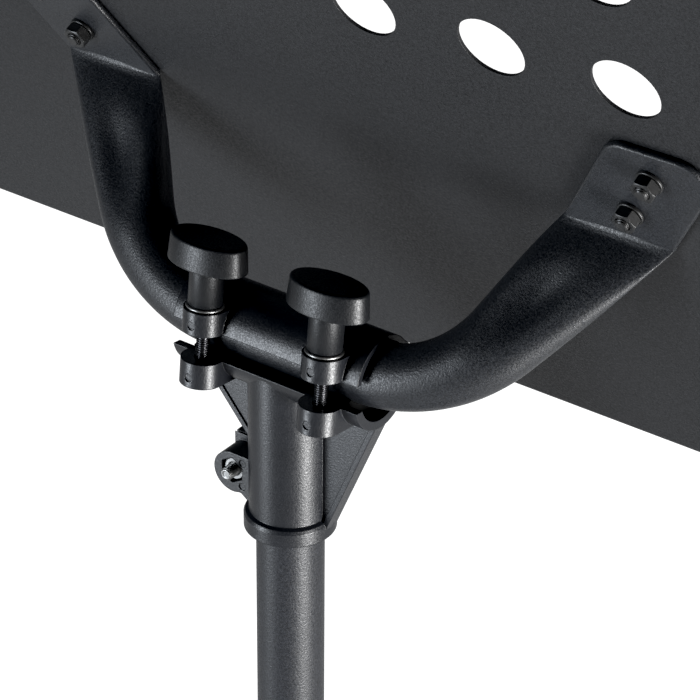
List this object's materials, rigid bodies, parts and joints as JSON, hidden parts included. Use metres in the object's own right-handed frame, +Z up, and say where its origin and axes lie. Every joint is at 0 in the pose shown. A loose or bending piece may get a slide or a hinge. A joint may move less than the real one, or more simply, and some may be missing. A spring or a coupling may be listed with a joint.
{
  "type": "music stand",
  "caption": "Orchestra music stand: a folded sheet desk on a bent tube yoke, held in a knob-tightened tilt clamp on a telescoping column with a round weighted base.",
  "frame": {"origin": "on the column's axis at the floor", "axes": "+Z up the column, +X along the tilt clamp's axis, the musician on the +Y side"},
  "size_m": [0.53, 0.38, 1.0483],
  "materials": {
    "desk_paint": "smooth satin black powder coat",
    "yoke_powder": "fine textured matt black powder coat",
    "column_paint": "matt black powder coat",
    "bolt_paint": "black oxide steel",
    "base_casting": "matt black paint over a cast skin",
    "black_nylon": "fine-grained glass-filled nylon, black",
    "knob_nylon": "smooth black nylon, semi-matt",
    "inner_nylon": "natural acetal, machined",
    "saddle_rubber": "matt black, ribbed",
    "foot_rubber": "matt black",
    "zinc_steel": "bright zinc plate",
    "dark_steel": "oiled black oxide with bright thread crests"
  },
  "bodies": {
    "stand": {"base_disc": "base_casting", "rubber_feet": "foot_rubber", "base_washer": "zinc_steel", "base_bolt": "zinc_steel", "tube_insert": "inner_nylon", "lower_tube": "column_paint", "base_collar": "black_nylon", "clutch_housing": "black_nylon", "clutch_nut": "zinc_steel", "guide_bush": "inner_nylon"},
    "height_pad": {"pressure_pad": "inner_nylon"},
    "height_clamp": {"height_knob": "knob_nylon", "height_screw": "zinc_steel"},
    "glide": {"glide_ring": "inner_nylon"},
    "column": {"upper_tube": "column_paint", "tube_end_plug": "inner_nylon", "tilt_head": "black_nylon", "upper_jaw": "black_nylon", "friction_saddle": "saddle_rubber", "clamp_nuts": "zinc_steel", "sleeve_nut": "zinc_steel", "sleeve_washer": "zinc_steel", "sleeve_bolt": "zinc_steel"},
    "washer_left": {"clamp_washer_left": "zinc_steel"},
    "washer_right": {"clamp_washer_right": "zinc_steel"},
    "knob_left": {"clamp_knob_left": "knob_nylon", "clamp_screw_left": "dark_steel"},
    "knob_right": {"clamp_knob_right": "knob_nylon", "clamp_screw_right": "dark_steel"},
    "desk": {"yoke_tube": "yoke_powder", "desk_plate": "desk_paint", "yoke_bolts": "bolt_paint", "yoke_washers": "bolt_paint", "yoke_nuts": "bolt_paint"}
  },
  "joints": [
    {"name": "height_clamp_travel", "type": "slide", "parent": "stand", "child": "height_pad", "axis": [1, 0, 0], "range_m": [0, 0.00375]},
    {"name": "height_clamp_turn", "type": "hinge", "parent": "height_pad", "child": "height_clamp", "pos_m": [0.041, 0, 0.494], "axis": [1, 0, 0], "range_deg": [0, 1080]},
    {"name": "height_slide", "type": "slide", "parent": "stand", "child": "glide", "axis": [0, 0, 1], "range_m": [0, 0.36]},
    {"name": "column_swivel", "type": "hinge", "parent": "glide", "child": "column", "pos_m": [0, 0, 0.0544], "axis": [0, 0, 1], "continuous": true},
    {"name": "clamp_travel_left", "type": "slide", "parent": "column", "child": "washer_left", "axis": [0, 0.1089, 0.9941], "range_m": [0, 0.004]},
    {"name": "clamp_turn_left", "type": "hinge", "parent": "washer_left", "child": "knob_left", "pos_m": [-0.031, -0.0192, 0.79], "axis": [0, 0.1089, 0.9941], "range_deg": [0, 1440]},
    {"name": "clamp_travel_right", "type": "slide", "parent": "column", "child": "washer_right", "axis": [0, 0.1089, 0.9941], "range_m": [0, 0.004]},
    {"name": "clamp_turn_right", "type": "hinge", "parent": "washer_right", "child": "knob_right", "pos_m": [0.031, -0.0192, 0.79], "axis": [0, 0.1089, 0.9941], "range_deg": [0, 1440]},
    {"name": "desk_tilt", "type": "hinge", "parent": "column", "child": "desk", "pos_m": [0, 0, 0.791], "axis": [1, 0, 0], "range_deg": [-25, 60]}
  ],
  "couplings": [
    {"joint": "height_clamp_turn", "follows": "height_clamp_travel", "rad_per_m": 5026.5},
    {"joint": "clamp_turn_left", "follows": "clamp_travel_left", "rad_per_m": 6283.1},
    {"joint": "clamp_turn_right", "follows": "clamp_travel_right", "rad_per_m": 6283.1}
  ]
}
